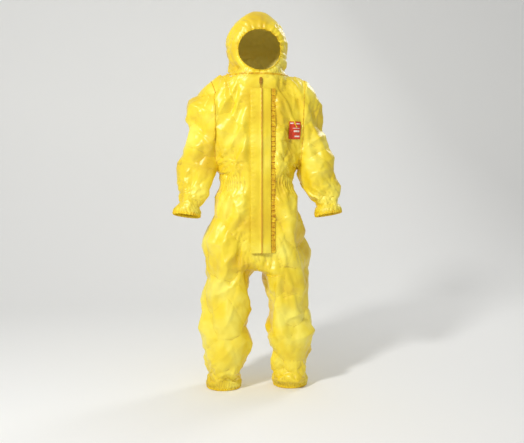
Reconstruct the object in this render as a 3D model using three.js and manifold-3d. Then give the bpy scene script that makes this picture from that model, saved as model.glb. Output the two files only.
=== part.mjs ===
// A hooded one-piece chemical protective suit, in the shape it has when it is worn.
// Millimetres: X runs to the wearer's left, -Y is the front and Z is up.
import * as THREE from 'three';
import { mergeVertices } from 'three/addons/utils/BufferGeometryUtils.js';
import Module from 'manifold-3d';

const wasm = await Module();
wasm.setup();

// ---------- Driving dimensions. Heights are above the trouser hems. ----------
const wall = 4; // the fabric with the air in its folds, as one solid wall
const gap = 0.3; // left between neighbouring pieces
const wearerHeight = 1438; // the neck seam, where the suit hangs on its wearer
const crotchHeight = 565;
const waistHeight = 955;
const elbowHeight = 1020;
const kneeHeight = 415;

// Body and hood: half width and depth behind the centre plane at each height, from the crotch up.
const trunkStations = [
  { height: crotchHeight, halfWidth: 246, back: 140 },
  { height: 660, halfWidth: 242, back: 151 }, // seat
  { height: 800, halfWidth: 213, back: 148 },
  { height: waistHeight, halfWidth: 163, back: 122 },
  { height: 1100, halfWidth: 205, back: 134 }, // armpit
  { height: 1240, halfWidth: 220, back: 138 }, // chest
  { height: 1350, halfWidth: 226, back: 134 }, // shoulders
  { height: 1405, halfWidth: 196, back: 118 },
  { height: 1446, halfWidth: 120, back: 100 }, // neck
  { height: 1510, halfWidth: 128, back: 120 }, // jaw
  { height: 1586, halfWidth: 142, back: 148 }, // brow, where the hood is widest
];
const hoodTop = 1740;
const domePower = 1.65; // roundness of the crown of the hood
const hoodFront = 112; // depth of the hood ahead of the centre plane
const bodyFront = 135; // depth of the body ahead of the centre plane, before the flat strip
const placketDepth = 130; // the flat front strip that the zip is sewn to

// Sleeve: points of the centre line from the shoulder to the cuff, with the radius at each.
const sleeveStations = [
  { at: [120, 5, 1342], radius: 74 },
  { at: [205, 5, 1302], radius: 98 },
  { at: [243, 3, 1200], radius: 81 },
  { at: [289, -6, elbowHeight], radius: 77 },
  { at: [309, -24, 915], radius: 75 },
  { at: [324, -40, 832], radius: 66 },
  { at: [328, -45, 805], radius: 60 }, // cuff
];

// Leg: centre and half sizes of the level sections, from the hem up.
const legStations = [
  { height: 0, x: 157, y: 6, halfWidth: 76, halfDepth: 78 }, // hem
  { height: 35, x: 157, y: 6, halfWidth: 87, halfDepth: 88 },
  { height: 100, x: 156, y: 5, halfWidth: 97, halfDepth: 97 },
  { height: 230, x: 151, y: 3, halfWidth: 104, halfDepth: 104 },
  { height: kneeHeight, x: 143, y: 0, halfWidth: 110, halfDepth: 113 },
  { height: crotchHeight, x: 129, y: 4, halfWidth: 116, halfDepth: 126 },
  { height: 640, x: 126, y: 4, halfWidth: 112, halfDepth: 120 },
];

// Face opening of the hood, seen from the front.
const face = { height: 1548, halfWidth: 98, above: 92, below: 98 };
const hoodStripHalfWidth = 42; // centre panel of the three-piece hood

// Front closure.
const zip = {
  bottom: 640, top: 1418, toothPitch: 30, toothHalfGap: 0.7, toothReach: 4.3, toothDepth: 5.3,
  tapeWidth: 18, tapeThickness: 1, opening: 16, stopHeight: 3,
};
const slider = {
  height: 24, halfWidth: 7, plate: 2.8, rearPlate: 1.4, web: 0.8, shoulder: 1,
  earReach: 5, earThickness: 1.2, earHalfHeight: 3, pinReach: 3, pinRise: 4.8,
};
const pull = {
  length: 26, width: 5.2, thickness: 1.4, pinRadius: 0.9, eyeRadius: 2.2, hole: 1.2, slotDrop: 20.28,
};
const flap = { left: 44, right: -50, bottom: 640, top: 1372, thickness: 1.6, rootThickness: 1.6 };
const flapClearance = 1.6; // in front of the slider's ears
const band = { inner: 38, outer: 62, thickness: 2 }; // sewn band that the flap folds out from
const adhesive = { inner: -46, outer: -34, thickness: 0.8 };
const guard = { halfWidth: 28, thickness: 1.2, flange: 7.7 };

// Elastics and label.
const elastic = { thickness: 1.6, wrist: 14, ankle: 16, waist: 20, neck: 12, inset: 3 };
const faceElastic = { halfThickness: 1.5, halfDepth: 4.5 };
const label = { x: 159, height: 1190, width: 56, tall: 78, thickness: 0.8 };
const gusset = { halfWidth: 45, halfDepth: 92 };

// Facets.
const trunkSegments = 28;
const tubeSegments = 16;
const legSegments = 18;
const domeRings = 5;
const domeEnd = domeRings + 0.4; // the last ring stays short of a point
const domeSpacing = 1.6; // closer rings towards the crown
const tubeRings = 9;
const boxiness = 2.5; // exponent of the body's rounded sections
const tubeBoxiness = 2.1;
const curveSegments = 10; // of a flat outline's arcs

// ---------- Solids ----------
function solid(geometry) {
  const bare = geometry.index ? geometry.clone() : geometry;
  bare.deleteAttribute('normal');
  bare.deleteAttribute('uv');
  const closed = mergeVertices(bare, 1e-4);
  return new wasm.Manifold(new wasm.Mesh({
    numProp: 3,
    vertProperties: new Float32Array(closed.attributes.position.array),
    triVerts: new Uint32Array(closed.index.array),
  }));
}

function geometryOf(piece) {
  const mesh = piece.getMesh();
  const geometry = new THREE.BufferGeometry();
  geometry.setAttribute('position', new THREE.BufferAttribute(mesh.vertProperties, 3));
  geometry.setIndex(new THREE.BufferAttribute(mesh.triVerts, 1));
  return geometry;
}

// The same solid on the wearer's other side.
function mirrored(piece) {
  const geometry = geometryOf(piece);
  geometry.scale(-1, 1, 1);
  const index = geometry.index.array;
  for (let i = 0; i < index.length; i += 3) [index[i], index[i + 1]] = [index[i + 1], index[i]];
  return solid(geometry);
}

function block(x, y, z) {
  const box = new THREE.BoxGeometry(x[1] - x[0], y[1] - y[0], z[1] - z[0]);
  box.translate((x[0] + x[1]) / 2, (y[0] + y[1]) / 2, (z[0] + z[1]) / 2);
  return solid(box);
}

const far = 3000; // larger than the suit

function halfSpace(point, normal) {
  const box = new THREE.BoxGeometry(far * 2, far * 2, far * 2);
  box.translate(0, 0, far);
  box.applyQuaternion(new THREE.Quaternion().setFromUnitVectors(new THREE.Vector3(0, 0, 1), normal));
  box.translate(point.x, point.y, point.z);
  return solid(box);
}

const axisX = new THREE.Vector3(1, 0, 0);
const axisY = new THREE.Vector3(0, 1, 0);
const axisZ = new THREE.Vector3(0, 0, 1);
const above = (height) => halfSpace(new THREE.Vector3(0, 0, height), axisZ);
const below = (height) => halfSpace(new THREE.Vector3(0, 0, height), axisZ.clone().negate());

// A closed loft through rings listed from the bottom up, with a flat facet facing front.
function loft(rings, segments, power) {
  const count = rings.length - 1;
  const half = Math.PI / segments;
  const geometry = new THREE.CylinderGeometry(1, 1, 1, segments, count, false, half);
  const position = geometry.attributes.position;
  const bend = (value) => Math.sign(value) * Math.abs(value) ** (2 / power);
  for (let i = 0; i < position.count; i += 1) {
    const ring = rings[Math.round((position.getY(i) + 0.5) * count)];
    const side = bend(position.getX(i)) * ring.halfWidth;
    const depth = bend(-position.getZ(i));
    const reach = depth < 0 ? depth * ring.front : depth * ring.back;
    const point = ring.at.clone().addScaledVector(ring.side, side).addScaledVector(ring.rear, reach);
    position.setXYZ(i, point.x, point.y, point.z);
  }
  return solid(geometry);
}

// ---------- Body and hood ----------
const brow = trunkStations[trunkStations.length - 1];
const trunkCurve = new THREE.CatmullRomCurve3(
  trunkStations.map((s) => new THREE.Vector3(s.halfWidth, s.back, s.height)), false, 'centripetal');

// The front is straight up to the neck seam, then draws back to the hood.
function frontDepth(height) {
  const share = THREE.MathUtils.smoothstep(height, wearerHeight, face.height);
  return THREE.MathUtils.lerp(bodyFront, hoodFront, share);
}

// Half width and back depth of the trunk at a height, by halving the span of the curve.
function trunkSection(height) {
  let low = 0;
  let high = 1;
  for (let i = 0; i < 40; i += 1) {
    const middle = (low + high) / 2;
    if (trunkCurve.getPoint(middle).z < height) low = middle;
    else high = middle;
  }
  const point = trunkCurve.getPoint(low);
  return { halfWidth: point.x, back: point.y };
}

function trunk(inset) {
  const bottom = crotchHeight + gap / 2 + Math.max(inset, 0);
  const heights = trunkStations.flatMap((s, i) => {
    const next = trunkStations[i + 1] ?? s;
    return [s.height, (s.height + next.height) / 2];
  });
  heights[0] = bottom;
  heights.pop();
  const rings = [];
  for (const height of heights) {
    const section = trunkSection(height);
    rings.push({
      at: new THREE.Vector3(0, 0, height), side: axisX, rear: axisY,
      halfWidth: section.halfWidth - inset, front: frontDepth(height) - inset, back: section.back - inset,
    });
  }
  const crown = hoodTop - inset - brow.height;
  for (let i = 1; i <= domeRings; i += 1) {
    const rise = 1 - (1 - i / domeEnd) ** domeSpacing;
    const share = (1 - rise ** domePower) ** (1 / domePower);
    rings.push({
      at: new THREE.Vector3(0, 0, brow.height + rise * crown), side: axisX, rear: axisY,
      halfWidth: (brow.halfWidth - inset) * share, front: (hoodFront - inset) * share,
      back: (brow.back - inset) * share,
    });
  }
  const flat = halfSpace(new THREE.Vector3(0, inset - placketDepth, 0), axisY);
  return loft(rings, trunkSegments, boxiness).intersect(flat);
}

// ---------- Sleeves and legs, on the wearer's left ----------
const sleeveCurve = new THREE.CatmullRomCurve3(
  sleeveStations.map((s) => new THREE.Vector3(...s.at)), false, 'centripetal');
const sleeveRadii = new THREE.CatmullRomCurve3(
  sleeveStations.map((s, i) => new THREE.Vector3(s.radius, i, 0)), false, 'centripetal');

function sleeveFrame(share) {
  const at = sleeveCurve.getPoint(share);
  const up = sleeveCurve.getTangent(share).negate();
  const side = new THREE.Vector3().crossVectors(axisY, up).normalize();
  const rear = new THREE.Vector3().crossVectors(up, side).normalize();
  return { at, up, side, rear, radius: sleeveRadii.getPoint(share).x };
}

const cuffFrame = sleeveFrame(1);
const elbowShare = sleeveStations.findIndex((s) => s.at[2] === elbowHeight) / (sleeveStations.length - 1);
const elbowFrame = sleeveFrame(elbowShare);

function sleeve(inset) {
  const rings = [];
  for (let i = 0; i <= tubeRings; i += 1) {
    const frame = sleeveFrame(1 - i / tubeRings);
    const size = frame.radius - inset;
    rings.push({ ...frame, halfWidth: size, front: size, back: size });
  }
  if (inset > 0) {
    const past = rings[0].at.clone().addScaledVector(rings[0].up, -wall);
    rings.unshift({ ...rings[0], at: past });
  }
  return loft(rings, tubeSegments, tubeBoxiness);
}

function leg(inset) {
  const rings = legStations.map((s) => ({
    at: new THREE.Vector3(s.x, s.y, s.height), side: axisX, rear: axisY,
    halfWidth: s.halfWidth - inset, front: s.halfDepth - inset, back: s.halfDepth - inset,
  }));
  if (inset > 0) {
    const past = rings[0].at.clone().addScaledVector(axisZ, -wall);
    rings.unshift({ ...rings[0], at: past });
  }
  return loft(rings, legSegments, tubeBoxiness);
}

const shellOf = (make) => make(0).subtract(make(wall));
// A thin layer that lies against the inside of a tube, or outside it with a negative inset.
const layerOf = (make, inset, thickness) => make(inset).subtract(make(inset + thickness));

// ---------- Pieces ----------
const pieces = [];
function add(name, piece, color, roughness = 0.5, metalness = 0) {
  pieces.push({ name, piece, color, roughness, metalness });
}
function addPair(name, piece, color, roughness) {
  add(`left_${name}`, piece, color, roughness);
  add(`right_${name}`, mirrored(piece), color, roughness);
}

const fabricYellow = 0xe8d84a;
const tapeYellow = 0xdcc93c;
const elasticCream = 0xd9cf9a;
const zipOchre = 0xb98a1e;
const labelOrange = 0xd9531e;

const leftSleeveHole = sleeve(-gap);
const trunkShell = trunk(0).subtract(trunk(wall))
  .subtract(leftSleeveHole).subtract(mirrored(leftSleeveHole))
  .subtract(leg(wall)).subtract(mirrored(leg(wall)));

// Hood: a centre strip over the crown, and a side panel each side that meets its twin at the chin.
function faceShape(inset) {
  const shape = new THREE.Shape();
  const width = face.halfWidth - inset;
  shape.absellipse(0, 0, width, face.above - inset, 0, Math.PI, false);
  shape.absellipse(0, 0, width, face.below - inset, Math.PI, Math.PI * 2, false);
  return shape;
}
const faceCut = new THREE.ExtrudeGeometry(faceShape(0), {
  depth: bodyFront * 2, bevelEnabled: false, curveSegments,
});
faceCut.rotateX(Math.PI / 2);
faceCut.translate(0, 0, face.height);
const hoodShell = trunkShell.intersect(above(wearerHeight + gap / 2)).subtract(solid(faceCut));
function crownStrip(margin) {
  const half = hoodStripHalfWidth + margin;
  const whole = block([-half, half], [-far, far], [wearerHeight, far]);
  return whole.subtract(block([-far, far], [-far, margin], [0, face.height + margin]));
}
const hoodSide = hoodShell.subtract(crownStrip(gap))
  .intersect(block([gap / 2, far], [-far, far], [0, far]));
add('hood_centre_panel', hoodShell.intersect(crownStrip(0)), fabricYellow);
addPair('hood_panel', hoodSide, fabricYellow);

// Elastic round the face opening, following the hood's front surface.
function hoodSurfaceFront(x, height) {
  let width = brow.halfWidth;
  let depth = hoodFront;
  if (height > brow.height) {
    const rise = (height - brow.height) / (hoodTop - brow.height);
    const share = (1 - rise ** domePower) ** (1 / domePower);
    width *= share;
    depth *= share;
  } else {
    width = trunkSection(height).halfWidth;
    depth = frontDepth(height);
  }
  return -depth * (1 - Math.min(Math.abs(x) / width, 1) ** boxiness) ** (1 / boxiness);
}
function faceRing() {
  const unit = 10;
  const geometry = new THREE.TorusGeometry(unit, 1, 6, 36);
  const position = geometry.attributes.position;
  for (let i = 0; i < position.count; i += 1) {
    const x = position.getX(i);
    const y = position.getY(i);
    const radial = (Math.hypot(x, y) - unit) * faceElastic.halfThickness;
    const turn = Math.atan2(y, x);
    const inset = gap + faceElastic.halfThickness - radial;
    const reach = Math.sin(turn) > 0 ? face.above : face.below;
    const edgeX = face.halfWidth * Math.cos(turn);
    const edgeZ = face.height + reach * Math.sin(turn);
    const surface = hoodSurfaceFront(edgeX, edgeZ) + faceElastic.halfDepth;
    position.setXYZ(i, edgeX - inset * Math.cos(turn),
      surface - position.getZ(i) * faceElastic.halfDepth, edgeZ - inset * Math.sin(turn));
  }
  return solid(geometry);
}
add('hood_face_elastic', faceRing(), elasticCream, 0.8);

// Body: two front panels either side of the zip, one back panel, and a gusset at the crotch.
const gussetBox = (margin) => block([-gusset.halfWidth - margin, gusset.halfWidth + margin],
  [-gusset.halfDepth - margin, gusset.halfDepth + margin], [0, crotchHeight + wall * 2]);
const bodyShell = trunkShell.intersect(below(wearerHeight - gap / 2));
const bodyPanels = bodyShell.subtract(gussetBox(gap));
const frontSide = block([zip.opening / 2, far], [-far, -gap / 2], [0, far]);
add('left_front_panel', bodyPanels.intersect(frontSide), fabricYellow);
add('right_front_panel', bodyPanels.intersect(mirrored(frontSide)), fabricYellow);
add('back_panel', bodyPanels.intersect(block([-far, far], [gap / 2, far], [0, far])), fabricYellow);
add('crotch_gusset', bodyShell.intersect(gussetBox(0)), fabricYellow);

// Sleeves and legs, each in two lengths.
const besideTrunk = block([trunkSection(waistHeight).halfWidth, far], [-far, far], [0, far]);
const sleeveShell = shellOf(sleeve).subtract(trunk(-gap)).intersect(besideTrunk);
function elbowCut(sign) {
  const away = elbowFrame.up.clone().multiplyScalar(sign);
  return halfSpace(elbowFrame.at.clone().addScaledVector(away, gap / 2), away);
}
addPair('upper_sleeve', sleeveShell.intersect(elbowCut(1)), fabricYellow);
addPair('lower_sleeve', sleeveShell.intersect(elbowCut(-1)), fabricYellow);

const legShell = shellOf(leg).intersect(below(crotchHeight - gap / 2));
addPair('upper_leg', legShell.intersect(above(kneeHeight + gap / 2)), fabricYellow);
addPair('lower_leg', legShell.intersect(below(kneeHeight - gap / 2)), fabricYellow);

// Elastics, sewn inside the cuffs, hems, waist and neck.
const wristStart = cuffFrame.at.clone().addScaledVector(cuffFrame.up, elastic.inset);
const wristEnd = cuffFrame.at.clone().addScaledVector(cuffFrame.up, elastic.inset + elastic.wrist);
const wristRegion = halfSpace(wristStart, cuffFrame.up)
  .intersect(halfSpace(wristEnd, cuffFrame.up.clone().negate()));
const insideOf = (make) => layerOf(make, wall + gap, elastic.thickness);
addPair('wrist_elastic', insideOf(sleeve).intersect(wristRegion), elasticCream, 0.8);
const ankleRegion = above(elastic.inset).intersect(below(elastic.inset + elastic.ankle));
addPair('ankle_elastic', insideOf(leg).intersect(ankleRegion), elasticCream, 0.8);

function trunkBand(middle, height, frontHalfWidth) {
  const slab = above(middle - height / 2).intersect(below(middle + height / 2));
  const front = block([-frontHalfWidth, frontHalfWidth], [-far, 0], [0, far]);
  return insideOf(trunk).intersect(slab).subtract(front);
}
add('waist_elastic', trunkBand(waistHeight, elastic.waist, flap.left), elasticCream, 0.8);
const neckBandMiddle = wearerHeight - elastic.neck;
add('neck_elastic', trunkBand(neckBandMiddle, elastic.neck, flap.left), elasticCream, 0.8);

// Zip: everything is placed from the flat strip's front face.
const stripFront = -placketDepth;
const stripBack = stripFront + wall;
const tapeFront = stripBack + gap;
const tapeBack = tapeFront + zip.tapeThickness;
const toothBack = tapeFront - gap;
const toothFront = toothBack - zip.toothDepth;
const tapeInner = zip.toothHalfGap * 3;
const tapeOuter = tapeInner + zip.tapeWidth;
const zipSpan = [zip.bottom - zip.stopHeight - gap, zip.top + zip.stopHeight + gap];
addPair('zip_tape', block([tapeInner, tapeOuter], [tapeFront, tapeBack], zipSpan), tapeYellow, 0.7);

function toothRow() {
  const cordInner = zip.toothHalfGap + zip.toothReach / 2;
  const outer = zip.toothHalfGap + zip.toothReach;
  let row = block([cordInner, outer], [toothFront, toothBack], [zip.bottom, zip.top]);
  const count = Math.floor((zip.top - zip.bottom) / zip.toothPitch);
  for (let i = 0; i < count; i += 1) {
    const start = zip.bottom + (i + 0.25) * zip.toothPitch;
    const span = [start, start + zip.toothPitch / 2];
    row = row.add(block([zip.toothHalfGap, outer], [toothFront, toothBack], span));
  }
  return row;
}
addPair('zip_teeth', toothRow(), zipOchre, 0.4);
const stopX = [zip.toothHalfGap, zip.toothHalfGap + zip.toothReach];
const topStopSpan = [zip.top + gap, zip.top + gap + zip.stopHeight];
const bottomStopSpan = [zip.bottom - gap - zip.stopHeight, zip.bottom - gap];
addPair('zip_top_stop', block(stopX, [toothFront, toothBack], topStopSpan), zipOchre, 0.4);
const bottomStop = block([-stopX[1], stopX[1]], [toothFront, toothBack], bottomStopSpan);
add('zip_bottom_stop', bottomStop, zipOchre, 0.4);

// Slider: a front plate, a rear plate and the web between them, with two ears and a pin.
const plateBack = toothFront - gap;
const plateFront = plateBack - slider.plate;
const earFront = plateFront - slider.earReach;
const pinDepth = plateFront - slider.pinReach;
const sliderMiddle = zip.top - slider.height / 2;
const sliderSpan = [sliderMiddle - slider.height / 2, sliderMiddle + slider.height / 2];
const rearFront = tapeBack + gap;
const earInner = pull.width / 2 + gap;
const earOuter = earInner + slider.earThickness;
const pinHeight = sliderMiddle + slider.pinRise;

function pinSolid(radius, length) {
  const cylinder = new THREE.CylinderGeometry(radius, radius, length, 16);
  cylinder.rotateZ(Math.PI / 2);
  cylinder.translate(0, pinDepth, pinHeight);
  return solid(cylinder);
}
const ears = [-1, 1].map((sign) => {
  const span = sign > 0 ? [earInner, earOuter] : [-earOuter, -earInner];
  const earSpan = [pinHeight - slider.earHalfHeight, pinHeight + slider.earHalfHeight];
  return block(span, [earFront, plateFront + gap], earSpan);
});
const rearPlateHalf = slider.halfWidth - slider.shoulder;
const rearPlateDepth = [rearFront, rearFront + slider.rearPlate];
const webDepth = [plateFront + slider.shoulder, rearFront + slider.shoulder];
const sliderBody = block([-slider.halfWidth, slider.halfWidth], [plateFront, plateBack], sliderSpan)
  .add(block([-rearPlateHalf, rearPlateHalf], rearPlateDepth, sliderSpan))
  .add(block([-slider.web / 2, slider.web / 2], webDepth, sliderSpan))
  .add(ears[0]).add(ears[1])
  .add(pinSolid(pull.pinRadius, earOuter * 2));
add('zip_slider', sliderBody, zipOchre, 0.35, 0.6);

// Pull tab: a flat tongue with a round eye on the slider's pin and a slot near its end.
const tabShape = new THREE.Shape();
const tabHalf = pull.width / 2;
tabShape.moveTo(-tabHalf, 0);
tabShape.lineTo(-tabHalf, tabHalf - pull.length);
tabShape.absarc(0, tabHalf - pull.length, tabHalf, Math.PI, Math.PI * 2, false);
tabShape.lineTo(tabHalf, 0);
tabShape.closePath();
const tabSlot = new THREE.Path();
tabSlot.absellipse(0, -pull.slotDrop, tabHalf / 2, tabHalf, 0, Math.PI * 2, false);
tabShape.holes.push(tabSlot);
const tabPlate = new THREE.ExtrudeGeometry(tabShape, {
  depth: pull.thickness, bevelEnabled: false, curveSegments,
});
tabPlate.rotateX(Math.PI / 2);
tabPlate.translate(0, pinDepth + pull.thickness / 2, pinHeight);
const tab = solid(tabPlate).add(pinSolid(pull.eyeRadius, pull.width))
  .subtract(pinSolid(pull.hole, pull.width * 2));
add('zip_pull_tab', tab, zipOchre, 0.35, 0.6);

// Guard behind the zip, sewn to the left panel by its flange.
const guardFront = rearFront + slider.rearPlate + gap;
const guardBack = guardFront + guard.thickness;
const guardPlate = block([-guard.halfWidth, tapeOuter + guard.flange], [guardFront, guardBack], zipSpan)
  .add(block([tapeOuter + gap, tapeOuter + guard.flange], [tapeFront, guardBack], zipSpan));
add('zip_guard', guardPlate, fabricYellow, 0.6);

// Storm flap over the zip, with the sewn band it folds out from and its adhesive strip.
const bandFront = stripFront - gap - band.thickness;
const flapBack = earFront - flapClearance;
const flapFront = flapBack - flap.thickness;
const flapSpan = [flap.bottom, flap.top];
const bandStrip = block([band.inner, band.outer], [bandFront, stripFront - gap], flapSpan);
add('flap_seam_band', bandStrip, tapeYellow, 0.5);
const flapRoot = block([flap.left - flap.rootThickness, flap.left], [flapFront, bandFront - gap], flapSpan);
const flapSheet = block([flap.right, flap.left], [flapFront, flapBack], flapSpan);
add('storm_flap', flapSheet.add(flapRoot), fabricYellow);
add('flap_adhesive_strip', block([adhesive.inner, adhesive.outer],
  [stripFront - gap - adhesive.thickness, stripFront - gap], flapSpan), elasticCream, 0.6);

// Label on the left chest, lying on the fabric.
const labelRegion = block([label.x - label.width / 2, label.x + label.width / 2], [-far, 0],
  [label.height - label.tall / 2, label.height + label.tall / 2]);
const labelLayer = layerOf(trunk, -gap - label.thickness, label.thickness);
add('chest_label', labelLayer.intersect(labelRegion), labelOrange, 0.5);

// ---------- The suit, with its origin at the neck seam ----------
const suit = new THREE.Group();
suit.position.set(0, 0, -wearerHeight);
for (const { name, piece, color, roughness, metalness } of pieces) {
  const material = new THREE.MeshStandardMaterial({ color, roughness, metalness });
  const mesh = new THREE.Mesh(geometryOf(piece), material);
  mesh.name = name;
  suit.add(mesh);
}
const group = new THREE.Group();
group.add(suit);

export default group;
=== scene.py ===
# The looks of a hooded chemical protective suit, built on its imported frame.
import math
import random

import bmesh
import bpy
import numpy as np
from mathutils import Matrix, Vector, noise
from mathutils.bvhtree import BVHTree
from mathutils.kdtree import KDTree


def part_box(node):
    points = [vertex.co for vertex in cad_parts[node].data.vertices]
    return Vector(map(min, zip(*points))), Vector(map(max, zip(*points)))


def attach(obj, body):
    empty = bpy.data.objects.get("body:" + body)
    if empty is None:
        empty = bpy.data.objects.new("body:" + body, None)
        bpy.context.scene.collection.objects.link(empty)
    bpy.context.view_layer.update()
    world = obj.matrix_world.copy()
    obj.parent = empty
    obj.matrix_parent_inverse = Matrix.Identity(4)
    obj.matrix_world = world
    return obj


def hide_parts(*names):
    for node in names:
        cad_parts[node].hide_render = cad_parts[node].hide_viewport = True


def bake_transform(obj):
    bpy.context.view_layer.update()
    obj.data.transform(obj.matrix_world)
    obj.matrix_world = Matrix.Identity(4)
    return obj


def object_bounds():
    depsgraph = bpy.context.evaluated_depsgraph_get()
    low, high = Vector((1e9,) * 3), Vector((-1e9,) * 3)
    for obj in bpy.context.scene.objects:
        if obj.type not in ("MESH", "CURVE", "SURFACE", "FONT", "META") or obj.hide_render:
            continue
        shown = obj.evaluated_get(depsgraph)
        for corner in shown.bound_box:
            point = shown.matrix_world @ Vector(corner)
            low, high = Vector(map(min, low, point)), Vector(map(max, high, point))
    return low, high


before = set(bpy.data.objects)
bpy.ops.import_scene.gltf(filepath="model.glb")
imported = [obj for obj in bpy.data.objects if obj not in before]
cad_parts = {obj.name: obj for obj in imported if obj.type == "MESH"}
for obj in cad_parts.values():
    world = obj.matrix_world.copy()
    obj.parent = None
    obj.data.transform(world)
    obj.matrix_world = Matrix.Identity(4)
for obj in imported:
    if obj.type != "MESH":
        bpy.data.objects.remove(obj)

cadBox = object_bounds()
mm = 0.001
up, rear, across = Vector((0, 0, 1)), Vector((0, 1, 0)), Vector((1, 0, 0))
random.seed(7)


# ---- Camera, floor and lights ----
studio = {
    "azimuth": -8,  # the camera stands a little to the wearer's right
    "distance": 3.6,
    "eye": -0.42,  # height of the lens, from the neck seam
    "aim": (0.023, 0, -0.665),
    "lens": 53.4,
    "floor": -1.4385,  # the hems stand on it
}


def buildStudio():
    azimuth = math.radians(studio["azimuth"])
    camera = bpy.data.objects.new("camera", bpy.data.cameras.new("camera"))
    bpy.context.scene.collection.objects.link(camera)
    aim = Vector(studio["aim"])
    camera.location = aim + Vector((math.sin(azimuth), -math.cos(azimuth), 0)) * studio["distance"]
    camera.location.z = studio["eye"]
    camera.rotation_euler = (aim - camera.location).to_track_quat("-Z", "Y").to_euler()
    camera.data.lens = studio["lens"]
    camera.data.sensor_width = 36
    bpy.context.scene.camera = camera

    # one sheet of pale card that curves up behind the suit
    profile = [(-9.0, 0.0), (2.2, 0.0)]
    for step in range(1, 13):
        turn = math.pi / 2 * step / 12
        profile.append((2.2 + 1.5 * math.sin(turn), 1.5 - 1.5 * math.cos(turn)))
    profile.append((3.7, 7.0))
    verts = [(x, y, z + studio["floor"]) for y, z in profile for x in (-9, 9)]
    faces = [(2 * i, 2 * i + 1, 2 * i + 3, 2 * i + 2) for i in range(len(profile) - 1)]
    card = meshObject("backdrop_card", verts, faces)
    shadeSmooth(card)
    return card


def areaLight(name, place, target, size, power, colour=(1, 1, 1)):
    light = bpy.data.lights.new(name, "AREA")
    light.shape = "DISK"
    light.size = size
    light.energy = power
    light.color = colour
    lamp = bpy.data.objects.new(name, light)
    bpy.context.scene.collection.objects.link(lamp)
    lamp.location = place
    lamp.rotation_euler = (Vector(target) - Vector(place)).to_track_quat("-Z", "Y").to_euler()


# ---- Mesh helpers ----
def meshObject(name, verts, faces):
    data = bpy.data.meshes.new(name)
    data.from_pydata([tuple(v) for v in verts], [], [tuple(f) for f in faces])
    data.update()
    piece = bpy.data.objects.new(name, data)
    bpy.context.scene.collection.objects.link(piece)
    return piece


def shadeSmooth(piece):
    piece.data.polygons.foreach_set("use_smooth", [True] * len(piece.data.polygons))


def points(piece):
    flat = np.empty(len(piece.data.vertices) * 3)
    piece.data.vertices.foreach_get("co", flat)
    return flat.reshape(-1, 3)


def setPoints(piece, places):
    piece.data.vertices.foreach_set("co", np.asarray(places, float).ravel())
    piece.data.update()


def normals(piece):
    flat = np.empty(len(piece.data.vertices) * 3)
    piece.data.vertices.foreach_get("normal", flat)
    return flat.reshape(-1, 3)


def smoothstep(low, high, value):
    share = np.clip((np.asarray(value, float) - low) / (high - low), 0, 1)
    return share * share * (3 - 2 * share)


def throughPoints(stations, share):
    # a centripetal Catmull-Rom curve through the stations, at a share of its span
    stations = np.asarray(stations, float)
    last = len(stations) - 1
    whole = min(int(share * last), last - 1)
    t = share * last - whole
    p1, p2 = stations[whole], stations[whole + 1]
    p0 = stations[whole - 1] if whole > 0 else 2 * p1 - p2
    p3 = stations[whole + 2] if whole + 2 <= last else 2 * p2 - p1
    d0, d1, d2 = (max(math.sqrt(np.linalg.norm(b - a)), 1e-4) for a, b in ((p0, p1), (p1, p2), (p2, p3)))
    m1 = ((p1 - p0) / d0 - (p2 - p0) / (d0 + d1) + (p2 - p1) / d1) * d1
    m2 = ((p2 - p1) / d1 - (p3 - p1) / (d1 + d2) + (p3 - p2) / d2) * d1
    return (
        (2 * t**3 - 3 * t**2 + 1) * p1 + (t**3 - 2 * t**2 + t) * m1
        + (3 * t**2 - 2 * t**3) * p2 + (t**3 - t**2) * m2
    )


# ---- The suit's outline, as the frame has it. Millimetres, heights above the trouser hems. ----
cut = {
    "neckHeight": 1438,
    "trunk": [  # height, half width, depth behind the centre plane
        (565, 246, 140), (660, 242, 151), (800, 213, 148), (955, 163, 122), (1100, 205, 134),
        (1240, 220, 138), (1350, 226, 134), (1405, 196, 118), (1446, 120, 100), (1510, 128, 120),
        (1586, 142, 148),
    ],
    "hoodTop": 1740,
    "domePower": 1.65,
    "bodyFront": 135,
    "hoodFront": 112,
    "strip": 130,  # depth of the flat front that the zip is sewn to
    "boxiness": 2.5,
    "sleeve": [  # x, y, height, radius
        (120, 5, 1342, 74), (205, 5, 1302, 98), (243, 3, 1200, 81), (289, -6, 1020, 77),
        (309, -24, 915, 75), (324, -40, 832, 66), (328, -45, 805, 60),
    ],
    "leg": [  # height, x, y, half width, half depth
        (0, 157, 6, 76, 78), (35, 157, 6, 87, 88), (100, 156, 5, 97, 97), (230, 151, 3, 104, 104),
        (415, 143, 0, 110, 113), (565, 129, 4, 116, 126), (640, 126, 4, 112, 120),
    ],
    "tubeBoxiness": 2.1,
    "face": (1548, 98, 92, 98),  # height, half width, above, below
}


def ringPoints(centre, side, back, halfWidth, front, depth, power, segments):
    ring = []
    for step in range(segments):
        turn = 2 * math.pi * (step + 0.5) / segments
        s, c = math.sin(turn), -math.cos(turn)
        s = math.copysign(abs(s) ** (2 / power), s)
        c = math.copysign(abs(c) ** (2 / power), c)
        ring.append(centre + side * (s * halfWidth) + back * (c * (front if c < 0 else depth)))
    return ring


def closedLoft(name, rings):
    count = len(rings[0])
    verts = [p for ring in rings for p in ring]
    faces = []
    for level in range(len(rings) - 1):
        for i in range(count):
            a, b = level * count + i, level * count + (i + 1) % count
            faces.append((a, b, b + count, a + count))
    faces.append(tuple(reversed(range(count))))
    faces.append(tuple(range((len(rings) - 1) * count, len(rings) * count)))
    return meshObject(name, verts, faces)


def rowHeight(height):
    return (height - cut["neckHeight"]) * mm


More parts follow.
